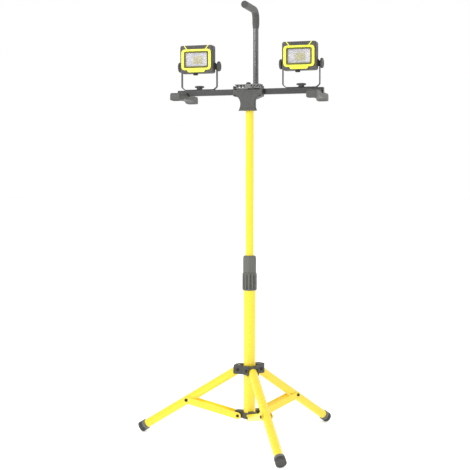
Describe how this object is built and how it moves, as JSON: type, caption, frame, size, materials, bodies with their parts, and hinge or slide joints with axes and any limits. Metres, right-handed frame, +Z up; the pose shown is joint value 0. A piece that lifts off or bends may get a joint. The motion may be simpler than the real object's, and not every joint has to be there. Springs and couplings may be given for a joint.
{
  "type": "tripod work light",
  "caption": "Yellow telescopic tripod with folding legs and struts, a crossbar with tilting and panning LED flood lamps, foot bars and a carrying hook.",
  "frame": {"origin": "on the floor, at the middle of the outline that the light covers", "axes": "+Z up, the crossbar runs along X, the lamps face -Y, the mast axis is parallel to Z at x = 0.078 m"},
  "size_m": [0.6832, 0.7358, 1.5235],
  "materials": {
    "yellow_paint": "gloss powder coat",
    "dark_plastic": "fine moulded texture",
    "collar_plastic": "fine moulded texture",
    "lamp_plastic": "fine moulded texture",
    "rubber": "matte",
    "grip_rubber": "matte",
    "black_steel": "satin powder coat",
    "bolt_steel": "black oxide",
    "handle_steel": "gloss",
    "bezel_yellow": "satin",
    "clear_glass": "clear",
    "reflector": "bright",
    "led_phosphor": "satin",
    "battery_wrap": "shrink film"
  },
  "bodies": {
    "mast": {"lower_tube": "yellow_paint", "mast_plug": "dark_plastic", "lower_bracket": "dark_plastic", "collar_sleeve": "collar_plastic", "collet": "dark_plastic"},
    "collar_nut": {"collar_nut": "collar_plastic"},
    "hub": {"leg_hub": "dark_plastic", "hub_bolt_1": "bolt_steel", "hub_bolt_2": "bolt_steel", "hub_bolt_3": "bolt_steel"},
    "hub_lock_knob": {"hub_lock_knob": "dark_plastic"},
    "leg_1": {"leg_tube_1": "yellow_paint", "foot_cap_1": "rubber", "leg_bolt_1": "bolt_steel"},
    "strut_1": {"strut_1": "yellow_paint"},
    "leg_2": {"leg_tube_2": "yellow_paint", "foot_cap_2": "rubber", "leg_bolt_2": "bolt_steel"},
    "strut_2": {"strut_2": "yellow_paint"},
    "leg_3": {"leg_tube_3": "yellow_paint", "foot_cap_3": "rubber", "leg_bolt_3": "bolt_steel"},
    "strut_3": {"strut_3": "yellow_paint"},
    "slider": {"guide_bush": "dark_plastic"},
    "upper_mast": {"upper_tube": "yellow_paint", "tee_front_shell": "dark_plastic", "tee_rear_shell": "dark_plastic", "top_frame": "dark_plastic", "handle_post": "handle_steel", "handle_grip": "grip_rubber", "crossbar": "black_steel", "bar_cap_left": "dark_plastic", "bar_cap_right": "dark_plastic", "foot_bar_left": "dark_plastic", "foot_bar_right": "dark_plastic"},
    "tee_knob": {"tee_knob": "dark_plastic"},
    "stirrup_left": {"stirrup_left": "black_steel"},
    "pan_knob_left": {"pan_knob_left": "dark_plastic"},
    "lamp_left": {"housing_left": "lamp_plastic", "rear_cover_left": "lamp_plastic", "bezel_left": "bezel_yellow", "lens_left": "clear_glass", "reflector_left": "reflector", "led_chip_left": "led_phosphor", "battery_pack_left": "battery_wrap"},
    "tilt_knob_left_outer": {"tilt_knob_left_outer": "dark_plastic"},
    "tilt_knob_left_inner": {"tilt_knob_left_inner": "dark_plastic"},
    "power_button_left": {"power_button_left": "grip_rubber"},
    "stirrup_right": {"stirrup_right": "black_steel"},
    "pan_knob_right": {"pan_knob_right": "dark_plastic"},
    "lamp_right": {"housing_right": "lamp_plastic", "rear_cover_right": "lamp_plastic", "bezel_right": "bezel_yellow", "lens_right": "clear_glass", "reflector_right": "reflector", "led_chip_right": "led_phosphor", "battery_pack_right": "battery_wrap"},
    "tilt_knob_right_outer": {"tilt_knob_right_outer": "dark_plastic"},
    "tilt_knob_right_inner": {"tilt_knob_right_inner": "dark_plastic"},
    "power_button_right": {"power_button_right": "grip_rubber"}
  },
  "joints": [
    {"name": "hub_slide", "type": "slide", "parent": "mast", "child": "hub", "axis": [0, 0, 1], "range_m": [0, 0.25133]},
    {"name": "collar_twist", "type": "hinge", "parent": "mast", "child": "collar_nut", "pos_m": [0.0786, 0, 0.615], "axis": [0, 0, 1], "range_deg": [0, 120]},
    {"name": "hub_lock_turn", "type": "hinge", "parent": "hub", "child": "hub_lock_knob", "pos_m": [0.0566, 0.0381, 0.2495], "axis": [-0.5, 0.866, 0], "range_deg": [0, 360]},
    {"name": "mast_slide", "type": "slide", "parent": "mast", "child": "slider", "axis": [0, 0, 1], "range_m": [-0.37, 0]},
    {"name": "head_swivel", "type": "hinge", "parent": "slider", "child": "upper_mast", "pos_m": [0.0786, 0, 0.615], "axis": [0, 0, 1], "continuous": true},
    {"name": "tee_knob_turn", "type": "hinge", "parent": "upper_mast", "child": "tee_knob", "pos_m": [0.0786, -0.016, 1.248], "axis": [0, 0, 1], "range_deg": [0, 360]},
    {"name": "leg_1_fold", "type": "hinge", "parent": "hub", "child": "leg_1", "pos_m": [0.0396, 0, 0.2465], "axis": [0, -1, 0], "range_deg": [0, 51.53]},
    {"name": "strut_1_fold", "type": "hinge", "parent": "leg_1", "child": "strut_1", "pos_m": [-0.15187, 0, 0.127], "axis": [0, -1, 0], "range_deg": [-121.61, 0]},
    {"name": "leg_2_fold", "type": "hinge", "parent": "hub", "child": "leg_2", "pos_m": [0.0981, -0.03377, 0.2465], "axis": [0.866, 0.5, 0], "range_deg": [0, 51.53]},
    {"name": "strut_2_fold", "type": "hinge", "parent": "leg_2", "child": "strut_2", "pos_m": [0.19383, -0.19959, 0.127], "axis": [0.866, 0.5, 0], "range_deg": [-121.61, 0]},
    {"name": "leg_3_fold", "type": "hinge", "parent": "hub", "child": "leg_3", "pos_m": [0.0981, 0.03377, 0.2465], "axis": [-0.866, 0.5, 0], "range_deg": [0, 51.53]},
    {"name": "strut_3_fold", "type": "hinge", "parent": "leg_3", "child": "strut_3", "pos_m": [0.19383, 0.19959, 0.127], "axis": [-0.866, 0.5, 0], "range_deg": [-121.61, 0]},
    {"name": "pan_left", "type": "hinge", "parent": "upper_mast", "child": "stirrup_left", "pos_m": [-0.1054, 0, 1.23], "axis": [0, 0, 1], "continuous": true},
    {"name": "pan_knob_left_turn", "type": "hinge", "parent": "upper_mast", "child": "pan_knob_left", "pos_m": [-0.1054, 0, 1.24], "axis": [0, 0, 1], "range_deg": [0, 360]},
    {"name": "tilt_left", "type": "hinge", "parent": "stirrup_left", "child": "lamp_left", "pos_m": [-0.1054, 0, 1.311], "axis": [1, 0, 0], "range_deg": [-90, 90]},
    {"name": "power_left_press", "type": "slide", "parent": "lamp_left", "child": "power_button_left", "axis": [0, 0, 1], "range_m": [0, 0.0015], "stiffness_N_per_m": 1200, "springref_m": -0.001},
    {"name": "tilt_knob_left_outer_turn", "type": "hinge", "parent": "lamp_left", "child": "tilt_knob_left_outer", "pos_m": [-0.1754, 0, 1.311], "axis": [-1, 0, 0], "range_deg": [0, 360]},
    {"name": "tilt_knob_left_inner_turn", "type": "hinge", "parent": "lamp_left", "child": "tilt_knob_left_inner", "pos_m": [-0.0354, 0, 1.311], "axis": [1, 0, 0], "range_deg": [0, 360]},
    {"name": "pan_right", "type": "hinge", "parent": "upper_mast", "child": "stirrup_right", "pos_m": [0.2626, 0, 1.23], "axis": [0, 0, 1], "continuous": true},
    {"name": "pan_knob_right_turn", "type": "hinge", "parent": "upper_mast", "child": "pan_knob_right", "pos_m": [0.2626, 0, 1.24], "axis": [0, 0, 1], "range_deg": [0, 360]},
    {"name": "tilt_right", "type": "hinge", "parent": "stirrup_right", "child": "lamp_right", "pos_m": [0.2626, 0, 1.311], "axis": [1, 0, 0], "range_deg": [-90, 90]},
    {"name": "power_right_press", "type": "slide", "parent": "lamp_right", "child": "power_button_right", "axis": [0, 0, 1], "range_m": [0, 0.0015], "stiffness_N_per_m": 1200, "springref_m": -0.001},
    {"name": "tilt_knob_right_outer_turn", "type": "hinge", "parent": "lamp_right", "child": "tilt_knob_right_outer", "pos_m": [0.3326, 0, 1.311], "axis": [1, 0, 0], "range_deg": [0, 360]},
    {"name": "tilt_knob_right_inner_turn", "type": "hinge", "parent": "lamp_right", "child": "tilt_knob_right_inner", "pos_m": [0.1926, 0, 1.311], "axis": [-1, 0, 0], "range_deg": [0, 360]}
  ],
  "couplings": [
    {"joint": "leg_1_fold", "follows": "hub_slide", "rad_per_m": 3.5784},
    {"joint": "strut_1_fold", "follows": "hub_slide", "rad_per_m": -8.4453},
    {"joint": "leg_2_fold", "follows": "hub_slide", "rad_per_m": 3.5784},
    {"joint": "strut_2_fold", "follows": "hub_slide", "rad_per_m": -8.4453},
    {"joint": "leg_3_fold", "follows": "hub_slide", "rad_per_m": 3.5784},
    {"joint": "strut_3_fold", "follows": "hub_slide", "rad_per_m": -8.4453}
  ]
}
